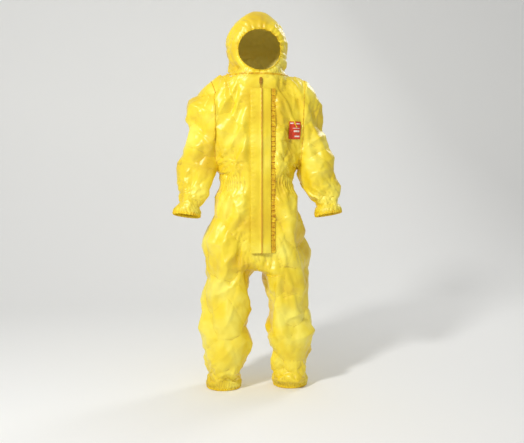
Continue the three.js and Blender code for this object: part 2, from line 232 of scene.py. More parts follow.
def trunkAt(height):
    stations = [(h, w, b) for h, w, b in cut["trunk"]]
    low, high = 0.0, 1.0
    for _ in range(30):
        middle = (low + high) / 2
        if throughPoints(stations, middle)[0] < height:
            low = middle
        else:
            high = middle
    return throughPoints(stations, low)[1:]


def frontAt(height):
    share = float(smoothstep(cut["neckHeight"], cut["face"][0], height))
    return cut["bodyFront"] + (cut["hoodFront"] - cut["bodyFront"]) * share


def trunkLoft(inset, segments=96):
    rings = []
    brow = cut["trunk"][-1]
    for height in np.linspace(cut["trunk"][0][0], brow[0], 60):
        halfWidth, depth = trunkAt(height)
        rings.append(ringPoints(
            Vector((0, 0, rowHeight(height))), across, rear, (halfWidth - inset) * mm,
            (frontAt(height) - inset) * mm, (depth - inset) * mm, cut["boxiness"], segments,
        ))
    crown = cut["hoodTop"] - inset - brow[0]
    for i in range(1, 15):
        rise = math.sin(math.pi / 2 * i / 14.3)
        share = (1 - rise ** cut["domePower"]) ** (1 / cut["domePower"])
        rings.append(ringPoints(
            Vector((0, 0, rowHeight(brow[0] + rise * crown))), across, rear,
            (brow[1] - inset) * share * mm, (cut["hoodFront"] - inset) * share * mm,
            (brow[2] - inset) * share * mm, cut["boxiness"], segments,
        ))
    piece = closedLoft("trunk", rings)
    places = points(piece)
    places[:, 1] = np.maximum(places[:, 1], -(cut["strip"] - inset) * mm)
    setPoints(piece, places)
    return piece


def sleeveFrame(share):
    x, y, height, radius = throughPoints(cut["sleeve"], share)
    step = 1e-3
    low, high = (throughPoints(cut["sleeve"], min(max(share + d, 0), 1))[:3] for d in (-step, step))
    along = Vector(low - high).normalized()
    side = rear.cross(along).normalized()
    return Vector((x * mm, y * mm, rowHeight(height))), along, side, along.cross(side), radius * mm


def sleeveLoft(inset, mirror, past=0, segments=56):
    rings = []
    for share in np.linspace(1, 0, 44):
        centre, along, side, back, radius = sleeveFrame(share)
        radius -= inset * mm
        rings.append(ringPoints(centre, side, back, radius, radius, radius, cut["tubeBoxiness"], segments))
    if past:
        drop = sleeveFrame(1)[1] * (past * mm)
        rings.insert(0, [p - drop for p in rings[0]])
    if mirror:
        rings = [[Vector((-p.x, p.y, p.z)) for p in reversed(ring)] for ring in rings]
    return closedLoft("sleeve", rings)


def legLoft(inset, mirror, past=0, segments=64):
    rings = []
    for share in np.linspace(0, 1, 50):
        height, x, y, halfWidth, halfDepth = throughPoints(cut["leg"], share)
        rings.append(ringPoints(
            Vector((x * mm, y * mm, rowHeight(height))), across, rear, (halfWidth - inset) * mm,
            (halfDepth - inset) * mm, (halfDepth - inset) * mm, cut["tubeBoxiness"], segments,
        ))
    if past:
        rings.insert(0, [p - up * (past * mm) for p in rings[0]])
    if mirror:
        rings = [[Vector((-p.x, p.y, p.z)) for p in reversed(ring)] for ring in rings]
    return closedLoft("leg", rings)


def joined(pieces, name):
    with bpy.context.temp_override(active_object=pieces[0], selected_editable_objects=pieces):
        bpy.ops.object.join()
    pieces[0].name = name
    return pieces[0]


def applyModifiers(piece):
    evaluated = piece.evaluated_get(bpy.context.evaluated_depsgraph_get())
    data = bpy.data.meshes.new_from_object(evaluated)
    piece.modifiers.clear()
    piece.data = data


def remeshed(piece, size):
    modifier = piece.modifiers.new("voxels", "REMESH")
    modifier.mode = "VOXEL"
    modifier.voxel_size = size
    modifier.use_smooth_shade = True
    applyModifiers(piece)
    # the remesh lists its points in any order, so they are sorted to give the same cloth each run
    places = points(piece)
    order = np.lexsort(np.round(places.T, 6))
    rank = np.empty(len(order), int)
    rank[order] = np.arange(len(order))
    faces = [tuple(int(rank[v]) for v in face.vertices) for face in piece.data.polygons]
    faces = sorted(face[face.index(min(face)):] + face[:face.index(min(face))] for face in faces)
    data = bpy.data.meshes.new(piece.name)
    data.from_pydata(places[order].tolist(), [], faces)
    data.update()
    piece.data = data


# ---- Materials ----
def linear(code, alpha=1.0):
    # an sRGB hex colour as linear light
    parts = [int(code[i:i + 2], 16) / 255 for i in (1, 3, 5)]
    return tuple(c / 12.92 if c <= 0.04045 else ((c + 0.055) / 1.055) ** 2.4 for c in parts) + (alpha,)


def addNode(tree, kind, links=None, **settings):
    # adds a node; settings are its properties or its inputs' values, links come from other nodes' outputs
    node = tree.nodes.new("ShaderNode" + kind)
    for name, value in settings.items():
        if name.startswith("in_"):
            key = name[3:]
            node.inputs[int(key) if key.isdigit() else key.replace("_", " ")].default_value = value
        else:
            setattr(node, name, value)
    for name, output in (links or {}).items():
        tree.links.new(output, node.inputs[int(name) if name.isdigit() else name])
    return node


def newMaterial(name):
    material = bpy.data.materials.new(name)
    material.use_nodes = True
    tree = material.node_tree
    tree.nodes.clear()
    shader = addNode(tree, "BsdfPrincipled")
    output = addNode(tree, "OutputMaterial", {"Surface": shader.outputs["BSDF"]})
    return material, tree, shader


def tint(tree, factor, stops):
    # a colour ramp over a factor: (place, hex) stops
    ramp = addNode(tree, "ValToRGB", {"Fac": factor})
    points = ramp.color_ramp.elements
    while len(points) < len(stops):
        points.new(0.5)
    for point, (place, code) in zip(points, stops):
        point.position = place
        point.color = linear(code)
    return ramp.outputs["Color"]


laminate = {
    # pale, mid and deep vary at random over the film; the last colour is painted shade, the dark ochre laid into the
    # creases
    "pale": "#FCEC5E", "mid": "#F5DA2E", "deep": "#E4BE18", "painted_crease_shade": "#B07A08",
    "roughness": 0.4, "coat": 0.22,
    "crumple": 26,  # mm between the small crumples of the film
    "bond": 2.6,  # mm between the embossed bond points, really 1 mm, coarser so that it shows
}


def filmYellow(name, shift=0.0):
    # polyethylene film laminated to spunbond nonwoven: a soft gloss with small crisp crumples
    material, tree, shader = newMaterial(name)
    place = addNode(tree, "TexCoord").outputs["Object"]
    broad = addNode(tree, "TexNoise", {"Vector": place}, in_Scale=5.5, in_Detail=3.0, in_Roughness=0.55)
    colour = tint(tree, broad.outputs["Fac"], [
        (0.3 - shift, laminate["deep"]), (0.5, laminate["mid"]), (0.68, laminate["pale"])])
    # painted shade: the colour is mixed towards the dark ochre where the hung cloth is concave, in its creases
    crease_shade_mask = addNode(tree, "Attribute", attribute_name="crease_shade_mask")
    depth = addNode(tree, "MapRange", {"Value": crease_shade_mask.outputs["Fac"]}, in_1=0.35, in_2=1.0, in_3=0.0, in_4=0.34)
    mixed = addNode(tree, "Mix", {"0": depth.outputs[0], "6": colour}, data_type="RGBA")
    mixed.inputs[7].default_value = linear(laminate["painted_crease_shade"])
    tree.links.new(mixed.outputs[2], shader.inputs["Base Color"])
    # crumples: small tilted facets, warped so that their edges wander
    warp = addNode(tree, "TexNoise", {"Vector": place}, in_Scale=28.0, in_Detail=2.0)
    bent = addNode(tree, "Mix", {"4": place, "5": warp.outputs["Color"]}, data_type="VECTOR", in_0=0.012)
    facets = addNode(
        tree, "TexVoronoi", {"Vector": bent.outputs[1]}, feature="F1", in_Scale=1000 / laminate["crumple"])
    cracks = addNode(
        tree, "TexVoronoi", {"Vector": bent.outputs[1]}, feature="DISTANCE_TO_EDGE",
        in_Scale=1000 / laminate["crumple"] / 1.9)
    bonds = addNode(tree, "TexVoronoi", {"Vector": place}, feature="F1", in_Scale=1000 / laminate["bond"])
    first = addNode(tree, "Bump", {"Height": facets.outputs["Distance"]}, in_Strength=0.16, in_Distance=0.004)
    second = addNode(
        tree, "Bump", {"Height": cracks.outputs["Distance"], "Normal": first.outputs["Normal"]},
        in_Strength=0.07, in_Distance=0.005)
    third = addNode(
        tree, "Bump", {"Height": bonds.outputs["Distance"], "Normal": second.outputs["Normal"]},
        in_Strength=0.06, in_Distance=0.0006)
    tree.links.new(third.outputs["Normal"], shader.inputs["Normal"])
    smear = addNode(tree, "TexNoise", {"Vector": place}, in_Scale=34.0, in_Detail=4.0)
    gloss = addNode(tree, "MapRange", {"Value": smear.outputs["Fac"]}, in_3=laminate["roughness"] - 0.08,
                    in_4=laminate["roughness"] + 0.1)
    tree.links.new(gloss.outputs[0], shader.inputs["Roughness"])
    shader.inputs["Coat Weight"].default_value = laminate["coat"]
    shader.inputs["Coat Roughness"].default_value = 0.32
    shader.inputs["IOR"].default_value = 1.5
    return material


def nonwovenPale():
    # the uncoated inner side of the spunbond: a paler yellow, matt, with short random fibres
    material, tree, shader = newMaterial("spunbond_polypropylene_inner")
    place = addNode(tree, "TexCoord").outputs["Object"]
    fibres = addNode(tree, "TexNoise", {"Vector": place}, in_Scale=420.0, in_Detail=4.0, in_Distortion=1.5)
    tree.links.new(
        tint(tree, fibres.outputs["Fac"], [(0.3, "#F4DE5A"), (0.7, "#FFF296")]), shader.inputs["Base Color"])
    bump = addNode(tree, "Bump", {"Height": fibres.outputs["Fac"]}, in_Strength=0.25, in_Distance=0.0008)
    tree.links.new(bump.outputs["Normal"], shader.inputs["Normal"])
    shader.inputs["Roughness"].default_value = 0.85
    return material


def flapFilm():
    # the same film over the zip, with a warm ochre line down it: partly the teeth's colour showing through the film,
    # partly painted shade along the ridge that the zip pushes up
    material = filmYellow("laminated_film_over_zip", 0.03)
    tree = material.node_tree
    shader = next(n for n in tree.nodes if n.type == "BSDF_PRINCIPLED")
    colour = shader.inputs["Base Color"].links[0].from_socket
    uv = addNode(tree, "TexCoord").outputs["UV"]
    across_ = addNode(tree, "SeparateXYZ", {"Vector": uv}).outputs["X"]
    wander = addNode(tree, "TexNoise", {"Vector": uv}, in_Scale=14.0)
    moved = addNode(tree, "MultiplyAdd" if False else "Math", {"0": wander.outputs["Fac"], "2": across_},
                    operation="MULTIPLY_ADD", in_1=0.03)
    off = addNode(tree, "Math", {"0": moved.outputs[0]}, operation="SUBTRACT", in_1=0.515)
    away = addNode(tree, "Math", {"0": off.outputs[0]}, operation="ABSOLUTE")
    line = addNode(tree, "MapRange", {"Value": away.outputs[0]}, in_1=0.012, in_2=0.055, in_3=0.85, in_4=0.0)
    line.interpolation_type = "SMOOTHSTEP"
    # the line's ochre: the teeth seen through the film, with painted shade along the ridge
    mixed = addNode(tree, "Mix", {"0": line.outputs[0], "6": colour}, data_type="RGBA")
    mixed.inputs[7].default_value = linear("#C98A12")
    tree.links.new(mixed.outputs[2], shader.inputs["Base Color"])
    return material


def tapeFilm():
    # heat-sealed seam tape: the film again, denser, a little deeper in colour and glossier
    material, tree, shader = newMaterial("heat_sealed_seam_tape")
    place = addNode(tree, "TexCoord").outputs["Object"]
    mottle = addNode(tree, "TexNoise", {"Vector": place}, in_Scale=60.0, in_Detail=4.0)
    tree.links.new(tint(tree, mottle.outputs["Fac"], [
        (0.32, "#C88E00"), (0.5, "#E3B400"), (0.66, "#F5D21E")]), shader.inputs["Base Color"])
    bump = addNode(tree, "Bump", {"Height": mottle.outputs["Fac"]}, in_Strength=0.3, in_Distance=0.002)
    tree.links.new(bump.outputs["Normal"], shader.inputs["Normal"])
    shader.inputs["Roughness"].default_value = 0.36
    return material


def knitted():
    # elastic inside a casing of the same film: the casing's yellow with close pleats across it
    material, tree, shader = newMaterial("film_casing_over_knitted_elastic")
    place = addNode(tree, "TexCoord").outputs["Object"]
    pleats = addNode(tree, "TexNoise", {"Vector": place}, in_Scale=130.0, in_Detail=2.0, in_Distortion=0.6)
    tree.links.new(tint(tree, pleats.outputs["Fac"], [
        (0.3, "#D6A400"), (0.5, "#F0CB0C"), (0.68, "#FDE32E")]), shader.inputs["Base Color"])
    bump = addNode(tree, "Bump", {"Height": pleats.outputs["Fac"]}, in_Strength=0.45, in_Distance=0.003)
    tree.links.new(bump.outputs["Normal"], shader.inputs["Normal"])
    shader.inputs["Roughness"].default_value = 0.5
    return material


def elasticKnit():
    # bare knitted elastic: cream, matt, with ribs 2 mm apart
    material, tree, shader = newMaterial("knitted_elastic")
    place = addNode(tree, "TexCoord").outputs["Object"]
    ribs = addNode(tree, "TexWave", {"Vector": place}, bands_direction="Z", in_Scale=80.0, in_Distortion=0.6)
    tree.links.new(
        tint(tree, ribs.outputs["Fac"], [(0.2, "#C9BC86"), (0.8, "#EAE0B4")]), shader.inputs["Base Color"])
    bump = addNode(tree, "Bump", {"Height": ribs.outputs["Fac"]}, in_Strength=0.5, in_Distance=0.0008)
    tree.links.new(bump.outputs["Normal"], shader.inputs["Normal"])
    shader.inputs["Roughness"].default_value = 0.9
    return material


def ochreCloth(name, scale, roughness):
    # dyed polyester: stitched tacks, whose dark ochre also serves as painted pleat shade, and woven tape, dull, with
    # its threads just showing
    material, tree, shader = newMaterial(name)
    place = addNode(tree, "TexCoord").outputs["Object"]
    threads = addNode(tree, "TexNoise", {"Vector": place}, in_Scale=scale, in_Detail=3.0)
    tree.links.new(
        tint(tree, threads.outputs["Fac"], [(0.3, "#9A5600"), (0.52, "#BC7400"), (0.7, "#DB9800")]),
        shader.inputs["Base Color"])
    bump = addNode(tree, "Bump", {"Height": threads.outputs["Fac"]}, in_Strength=0.4, in_Distance=0.0008)
    tree.links.new(bump.outputs["Normal"], shader.inputs["Normal"])
    shader.inputs["Roughness"].default_value = roughness
    return material


def lacqueredMetal():
    # die-cast zinc with ochre lacquer: metal shows at the worn spots
    material, tree, shader = newMaterial("lacquered_zinc_diecast")
    place = addNode(tree, "TexCoord").outputs["Object"]
    wear = addNode(tree, "TexNoise", {"Vector": place}, in_Scale=260.0, in_Detail=5.0)
    tree.links.new(
        tint(tree, wear.outputs["Fac"], [(0.35, "#A87414"), (0.6, "#C08C22"), (0.78, "#CFC6AE")]),
        shader.inputs["Base Color"])
    metal = addNode(tree, "MapRange", {"Value": wear.outputs["Fac"]}, in_1=0.6, in_2=0.75, in_3=0.2, in_4=1.0)
    tree.links.new(metal.outputs[0], shader.inputs["Metallic"])
    bump = addNode(tree, "Bump", {"Height": wear.outputs["Fac"]}, in_Strength=0.15, in_Distance=0.0004)
    tree.links.new(bump.outputs["Normal"], shader.inputs["Normal"])
    shader.inputs["Roughness"].default_value = 0.35
    return material


def releaseStrip():
    # the adhesive's waxed cover paper: pale, smooth, faintly wrinkled
    material, tree, shader = newMaterial("waxed_release_paper")
    place = addNode(tree, "TexCoord").outputs["Object"]
    wrinkle = addNode(tree, "TexNoise", {"Vector": place}, in_Scale=90.0, in_Detail=3.0)
    tree.links.new(
        tint(tree, wrinkle.outputs["Fac"], [(0.3, "#E4DEC2"), (0.7, "#F6F2DF")]), shader.inputs["Base Color"])
    bump = addNode(tree, "Bump", {"Height": wrinkle.outputs["Fac"]}, in_Strength=0.2, in_Distance=0.001)
    tree.links.new(bump.outputs["Normal"], shader.inputs["Normal"])
    shader.inputs["Roughness"].default_value = 0.3
    return material


def printedLabel():
    # screen-printed film patch: red orange with plain pale blocks
    material, tree, shader = newMaterial("screen_printed_film")
    uv = addNode(tree, "TexCoord").outputs["UV"]
    axes = addNode(tree, "SeparateXYZ", {"Vector": uv})
    blocks = [  # left, right, bottom, top shares of the patch
        (0.06, 0.34, 0.86, 0.93), (0.58, 0.9, 0.84, 0.91), (0.4, 0.88, 0.4, 0.5), (0.5, 0.92, 0.12, 0.2),
        (0.3, 0.86, 0.6, 0.63),
    ]
    total = None
    for left, right, bottom, top in blocks:
        inside = []
        for axis, low, high in (("X", left, right), ("Y", bottom, top)):
            middle, half = (low + high) / 2, (high - low) / 2
            inside.append(addNode(
                tree, "Math", {"0": axes.outputs[axis]}, operation="COMPARE", in_1=middle, in_2=half).outputs[0])
        both = addNode(tree, "Math", {"0": inside[0], "1": inside[1]}, operation="MULTIPLY").outputs[0]
        total = both if total is None else addNode(
            tree, "Math", {"0": total, "1": both}, operation="MAXIMUM").outputs[0]
    mottle = addNode(tree, "TexNoise", {"Vector": uv}, in_Scale=9.0, in_Detail=3.0)
    base = tint(tree, mottle.outputs["Fac"], [(0.3, "#C62E05"), (0.7, "#E8440C")])
    mixed = addNode(tree, "Mix", {"0": total, "6": base}, data_type="RGBA")
    mixed.inputs[7].default_value = linear("#F5E3D6")
    tree.links.new(mixed.outputs[2], shader.inputs["Base Color"])
    bump = addNode(tree, "Bump", {"Height": mottle.outputs["Fac"]}, in_Strength=0.1, in_Distance=0.002)
    tree.links.new(bump.outputs["Normal"], shader.inputs["Normal"])
    shader.inputs["Roughness"].default_value = 0.42
    return material


def studioCard():
    # matt painted card: a faint mottle, no gloss
    material, tree, shader = newMaterial("matt_white_card")
    mottle = addNode(tree, "TexNoise", in_Scale=3.0)
    tree.links.new(
        tint(tree, mottle.outputs["Fac"], [(0.3, "#F4F4F2"), (0.7, "#F7F7F5")]), shader.inputs["Base Color"])
    shader.inputs["Roughness"].default_value = 0.95
    return material


yellowFilm = filmYellow("laminated_polyethylene_film")
yellowFlap = flapFilm()
paleLaminate = nonwovenPale()
seamTape = tapeFilm()
casing = knitted()
elasticBand = elasticKnit()
# the tack bars' ochre is partly thread colour, partly painted shade of the pleats
tackThreadAndPleatShade = ochreCloth("stitched_thread_and_pleat_shade", 900, 0.7)
zipTape = ochreCloth("woven_polyester_tape", 700, 0.85)
mouldedTeeth = ochreCloth("moulded_acetal_teeth", 200, 0.35)
sliderMetal = lacqueredMetal()
adhesivePaper = releaseStrip()
orangeLabel = printedLabel()


def dress(piece, material):
    piece.data.materials.clear()
    piece.data.materials.append(material)


# ---- The garment: one soft skin that is hung on a body form, then cut along its seams ----
drape = {
    "voxel": 9,  # mm, the grid of the cloth
    "frames": 20,
    "excess": 0.05,  # how much longer the cloth is than the outline it fills
    "bend": 0.7,
    "stretch": 22,
    "bodyGap": 24,  # mm from the cloth down to the wearer's form
    "limbGap": 26,
    "hoodGap": 12,
    "reach": 24,  # mm, the furthest that a point may move
}


def nearFaceEdge(places):
    # distance outside the rim of the face opening, in metres, for points at the front
    height, halfWidth, above, below = (v * mm for v in cut["face"])
    x, z = places[:, 0], places[:, 2] - (height - cut["neckHeight"] * mm)
    tall = np.where(z > 0, above, below)
    reach = np.sqrt((x / halfWidth) ** 2 + (z / tall) ** 2)
    return (reach - 1) * (halfWidth + tall) / 2


def trimOpenings(piece):
    mesh = bmesh.new()
    mesh.from_mesh(piece.data)
    ends = []
    for mirror in (1, -1):
        centre, along, side, back, radius = sleeveFrame(1)
        ends.append((Vector((centre.x * mirror, centre.y, centre.z)), Vector((along.x * mirror, along.y, along.z))))
        hem = cut["leg"][0]
        ends.append((Vector((hem[1] * mirror * mm, hem[2] * mm, rowHeight(0))), up))
    for centre, along in ends:
        reach = 0.15 if centre.z < -1 else 0.075
        close = {v for v in mesh.verts if (v.co - centre).length < reach}
        faces = {f for v in close for f in v.link_faces}
        geometry = list(close) + list(faces) + list({e for f in faces for e in f.edges})
        bmesh.ops.bisect_plane(mesh, geom=geometry, plane_co=centre, plane_no=along, clear_inner=True)
    inside = [v for v in mesh.verts if v.co.y < 0 and nearFaceEdge(np.array([v.co]))[0] < 0.004 and v.co.z > 0]
    bmesh.ops.delete(mesh, geom=inside, context="VERTS")
    bmesh.ops.delete(mesh, geom=[v for v in mesh.verts if not v.link_faces], context="VERTS")
    height, halfWidth, above, below = (v * mm for v in cut["face"])
    middle = height - cut["neckHeight"] * mm
    for vert in mesh.verts:
        if vert.is_boundary and vert.co.y < 0 and vert.co.z > 0:
            tall = above if vert.co.z > middle else below
            turn = math.atan2((vert.co.z - middle) / tall, vert.co.x / halfWidth)
            vert.co.x = halfWidth * math.cos(turn)
            vert.co.z = middle + tall * math.sin(turn)
    mesh.to_mesh(piece.data)
    mesh.free()
    piece.data.update()


def pinWeights(places):
    # how firmly each point stays on the outline: the closure, the elastics and every rim
    x, y, z = places.T
    width = np.abs(x)
    front = (y < -0.09) * smoothstep(-0.85, -0.79, z) * (1 - smoothstep(-0.02, 0.0, z))
    pin = front * (1 - smoothstep(0.052, 0.085, width))
    centre, along, side, back, radius = sleeveFrame(1)
    arm = np.abs(places * [1, 1, 1])
    arm = np.column_stack([width, y, z]) - np.array(centre)
    beyond = arm @ np.array(along)
    nearCuff = (np.linalg.norm(arm, axis=1) < 0.13) & (z < -0.5) & (width > 0.25)
    pin = np.maximum(pin, np.where(nearCuff, 1 - smoothstep(0.012, 0.05, beyond), 0))
    pin = np.maximum(pin, 1 - smoothstep(0.014, 0.05, z - rowHeight(0)))
    rim = (y < 0) & (z > 0)
    pin = np.maximum(pin, np.where(rim, 1 - smoothstep(0.008, 0.04, nearFaceEdge(places)), 0))
    pin = np.maximum(pin, 0.5 * (1 - smoothstep(0.006, 0.03, np.abs(z))) * (width < 0.16))
    waist = rowHeight(955)
    pin = np.maximum(pin, 0.45 * (1 - smoothstep(0.008, 0.035, np.abs(z - waist))) * (width < 0.19))
    return pin


def vertexGroup(piece, name, weights):
    group = piece.vertex_groups.new(name=name)
    for level in range(1, 21):
        members = np.flatnonzero(np.round(weights * 20) == level)
        if len(members):
            group.add([int(i) for i in members], level / 20, "REPLACE")
    return name


def bodyForm():
    form = joined([
        trunkLoft(drape["bodyGap"], 64), sleeveLoft(drape["limbGap"], False, 4), sleeveLoft(drape["limbGap"], True, 4),
        legLoft(drape["limbGap"], False, 30), legLoft(drape["limbGap"], True, 30),
    ], "body_form")
    remeshed(form, 0.014)
    places = points(form)
    head = smoothstep(0.0, 0.08, places[:, 2])
    setPoints(form, places + normals(form) * (head * (drape["bodyGap"] - drape["hoodGap"]) * mm)[:, None])
    return form


def hangGarment():
    garment = joined(
        [trunkLoft(0), sleeveLoft(0, False, 12), sleeveLoft(0, True, 12), legLoft(0, False, 12), legLoft(0, True, 12)],
        "garment",
    )
    remeshed(garment, drape["voxel"] * mm)
    smooth = garment.modifiers.new("soften", "SMOOTH")
    smooth.iterations = 3
    applyModifiers(garment)
    trimOpenings(garment)
    rest = points(garment)
    form = bodyForm()
    solid = form.modifiers.new("hit", "COLLISION")
    form.collision.thickness_outer = 0.002
    form.collision.cloth_friction = 12
    # slight unevenness, so that the folds don't line up with the grid
    seed = np.array([noise.noise(Vector(p) * 22) + 0.6 * noise.noise(Vector(p) * 51) for p in rest])
    setPoints(garment, rest + normals(garment) * (seed * 0.003 * (1 - pinWeights(rest)))[:, None])
    cloth = garment.modifiers.new("hang", "CLOTH")
    settings = cloth.settings
    settings.quality = 5
    settings.mass = 0.12
    settings.effector_weights.gravity = 0.3
    settings.tension_stiffness = settings.compression_stiffness = drape["stretch"]
    settings.shear_stiffness = drape["stretch"] * 0.6
    settings.bending_stiffness = drape["bend"]
    settings.tension_damping = settings.compression_damping = 6
    settings.air_damping = 2
    settings.shrink_min = -drape["excess"]
    settings.vertex_group_mass = vertexGroup(garment, "pinned", pinWeights(rest))
    settings.pin_stiffness = 1.2
    cloth.collision_settings.distance_min = 0.003
    cloth.collision_settings.collision_quality = 3
    cloth.point_cache.frame_start = 1
    cloth.point_cache.frame_end = drape["frames"]
    scene = bpy.context.scene
    for step in range(1, drape["frames"] + 1):
        scene.frame_set(step)
    applyModifiers(garment)
    bpy.data.objects.remove(form)
    scene.frame_set(1)
    hung = points(garment)
    move = hung - rest
    length = np.linalg.norm(move, axis=1, keepdims=True)
    limit = drape["reach"] * mm
    hung = rest + move * (limit * np.tanh(length / limit) / np.maximum(length, 1e-9))
    hung[:, 2] = np.maximum(hung[:, 2], rowHeight(0))
    setPoints(garment, hung)
    return garment, rest


# ---- Folds and creases, pressed into the hung cloth ----
creases = {
    "broad": (130, 8.5),  # mm between crease centres, mm high
    "fine": (60, 1.2),
    "pucker": 8.5,  # mm between the gathers at an elastic
}

# Folds that pull from the crotch, knees, elbows and armpits: (x, z) in mm from the neck seam,
# then height and half width. Negative heights are valleys.
frontFolds = [
    ((-55, -699), (-235, -889), 11, 15), ((-78, -667), (-175, -741), 7, 11),
    ((-97, -898), (-240, -986), 9, 14), ((-129, -995), (-193, -1156), 8, 13),
    ((-250, -1027), (-222, -1142), -7, 13), ((-60, -860), (-150, -880), -6, 11),
    ((-120, -1180), (-215, -1290), 7, 15), ((-85, -1290), (-170, -1395), -6, 12),
    ((69, -667), (143, -621), 8, 11), ((124, -681), (212, -898), 9, 14),
    ((30, -861), (202, -866), -7, 12), ((101, -898), (133, -1027), 7, 12),
    ((51, -1115), (101, -1198), 8, 13), ((115, -1101), (215, -1064), 10, 13),
    ((166, -1239), (170, -1405), 6, 11), ((78, -1010), (190, -970), -7, 13),
    ((-315, -92), (-262, -195), 9, 14), ((-275, -25), (-208, -155), 8, 13),
    ((-315, -215), (-215, -330), 9, 13), ((-350, -300), (-225, -352), -8, 12),
    ((-372, -365), (-235, -405), 10, 13), ((-378, -440), (-312, -500), 9, 13),
    ((-370, -545), (-280, -480), -7, 12), ((230, -195), (293, -115), 9, 13),
    ((190, -340), (340, -235), 10, 14), ((195, -398), (345, -298), -8, 13),
    ((230, -440), (350, -405), 10, 12), ((262, -520), (355, -470), 8, 12),
    ((300, -600), (372, -520), -6, 12), ((-130, -255), (-205, -208), 6, 12),
    ((-62, -290), (-170, -455), 7, 15), ((-190, -430), (-120, -470), -6, 11),
    ((70, -300), (186, -288), -9, 12), ((146, -12), (156, -160), 6, 12),
    ((90, -440), (165, -330), 7, 13), ((-150, -30), (-115, -150), 5, 12),
    ((-150, -520), (-95, -640), 7, 13), ((105, -500), (165, -600), 7, 13),
]


def creaseField(places, spacing, height, seed):
    # the difference of two upper envelopes of domes: flat facets that meet in sharp creases
    rng = np.random.default_rng(seed)
    total = np.zeros(len(places))
    for sign in (1, -1):
        shift = rng.random(3) * spacing
        cells = np.unique(np.floor((places + shift) / spacing).astype(int), axis=0)
        seeds = (cells + 0.1 + 0.8 * rng.random(cells.shape)) * spacing - shift
        lift = rng.normal(0, height * 0.45, len(seeds))
        lean = rng.normal(0, height / spacing, seeds.shape)
        tree = KDTree(len(seeds))
        for i, spot in enumerate(seeds):
            tree.insert(spot, i)
        tree.balance()
        near = np.array([[hit[1] for hit in tree.find_n(p, 5)] for p in places])
        away = places[:, None, :] - seeds[near]
        dome = lift[near] + (lean[near] * away).sum(2) - (away**2).sum(2) * (height * 4 / spacing**2)
        total += sign * dome.max(axis=1)
    return total - total.mean()


def foldField(places, facing, folds, mirror=1):
    total = np.zeros(len(places))
    flat = places[:, [0, 2]] / mm * [mirror, 1]
    for start, end, height, half in folds:
        start, end = np.array(start, float), np.array(end, float)
        run = end - start
        share = np.clip(((flat - start) @ run) / (run @ run), 0, 1)
        spot = start + share[:, None] * run
        bow = 0.06 * np.linalg.norm(run) * np.sin(share * math.pi)
        side = np.array([-run[1], run[0]]) / np.linalg.norm(run)
        offset = flat - spot - side * bow[:, None]
        away = np.linalg.norm(offset, axis=1)
        taper = np.sin(np.clip(share, 0.02, 0.98) * math.pi) ** 0.6
        crest = np.exp(-((away / half) ** 1.3)) - 0.35 * np.exp(-((away / (2.6 * half)) ** 2))
        total += height * mm * taper * crest
    return total * facing


def gathers(places, outward, distance, pitch, height, spread):
    # ripples that run away from an elastic, tighter close to it
    turn = np.arctan2(outward[:, 1], outward[:, 0])
    radius = 0.11
    wave = np.sin(turn * radius / (pitch * mm) * 2 * math.pi + 2.2 * np.sin(turn * 5) + places[:, 2] * 9)
    return height * mm * wave * np.exp(-np.abs(distance) / (spread * mm))


def pressCreases(hung, rest, outward):
    x, y, z = rest.T
    width = np.abs(x)
    calm = 1 - pinWeights(rest)
    hood = smoothstep(0.02, 0.12, z)
    lively = calm * (1 - 0.72 * hood)
    spacing, height = creases["broad"]
    lift = creaseField(rest, spacing * mm, height * mm, 3) * lively
    spacing, height = creases["fine"]
    lift += creaseField(rest, spacing * mm, height * mm, 8) * (0.25 + 0.75 * calm) * (1 - 0.5 * hood)
    facing = smoothstep(-0.15, 0.35, -outward[:, 1])
    lift += foldField(rest, facing, frontFolds) * np.maximum(calm, 0.15)
    lift += foldField(rest, smoothstep(-0.15, 0.35, outward[:, 1]), frontFolds, -1) * calm
    # puckers: face rim, waist, neck, cuffs and hems
    rimAway = np.where((y < 0.03) & (z > -0.02), nearFaceEdge(rest), 1)
    turn = np.arctan2(z - rowHeight(cut["face"][0]), x)
    rim = np.sin(turn * 21 + 1.5 * np.sin(turn * 4)) + 0.5 * np.sin(turn * 37 + 2)
    strength = 0.55 + 0.45 * np.cos(turn - 0.3)  # strongest beside the wearer's left temple
    lift += 3.4 * mm * rim * strength * np.exp(-np.abs(rimAway) / 0.03) * (y < 0.03)
    waist = rowHeight(955)
    sides = smoothstep(0.05, 0.1, width) * (width < 0.2) + (y > 0) * (width < 0.2)
    sides = np.minimum(sides, 1)
    lift += gathers(rest, outward, z - waist, creases["pucker"] * 1.6, 3.2, 34) * sides
    lift -= 2.5 * mm * np.exp(-(((z - waist) / 0.011) ** 2)) * sides
    lift += gathers(rest, outward, z, creases["pucker"] * 1.7, 2.4, 30) * (width < 0.17) * (1 - (width < 0.05) * (y < 0))
    centre, along = sleeveFrame(1)[:2]
    beyond = (np.column_stack([width, y, z]) - np.array(centre)) @ np.array(along)
    arm = (width > 0.24) & (z < -0.45) & (z > -0.68)
    lift += gathers(rest, outward, beyond - 0.014, creases["pucker"], 2.6, 26) * arm
    lift += gathers(rest, outward, z - rowHeight(0) - 0.016, creases["pucker"], 2.6, 30) * (z < -1.3)
    gussetAway = np.hypot(x, (z + 0.80) * 0.8)
    lift += 1.2 * mm * np.sin(x * 420 + 3 * np.sin(z * 60)) * np.exp(-gussetAway / 0.07) * (z < -0.7)
    lift *= 1 - smoothstep(0.03, 0.0, width) * (y < -0.1) * (z < 0) * (z > -0.8) * 0.9
    return hung + outward * lift[:, None]


def surfaceNormals(places, faces):
    # faces is an array of quads or triangles
    total = np.zeros_like(places)
    cross = np.cross(places[faces[:, 2]] - places[faces[:, 0]], places[faces[:, 3]] - places[faces[:, 1]])
    for corner in range(4):
        np.add.at(total, faces[:, corner], cross)
    return total / np.maximum(np.linalg.norm(total, axis=1, keepdims=True), 1e-12)


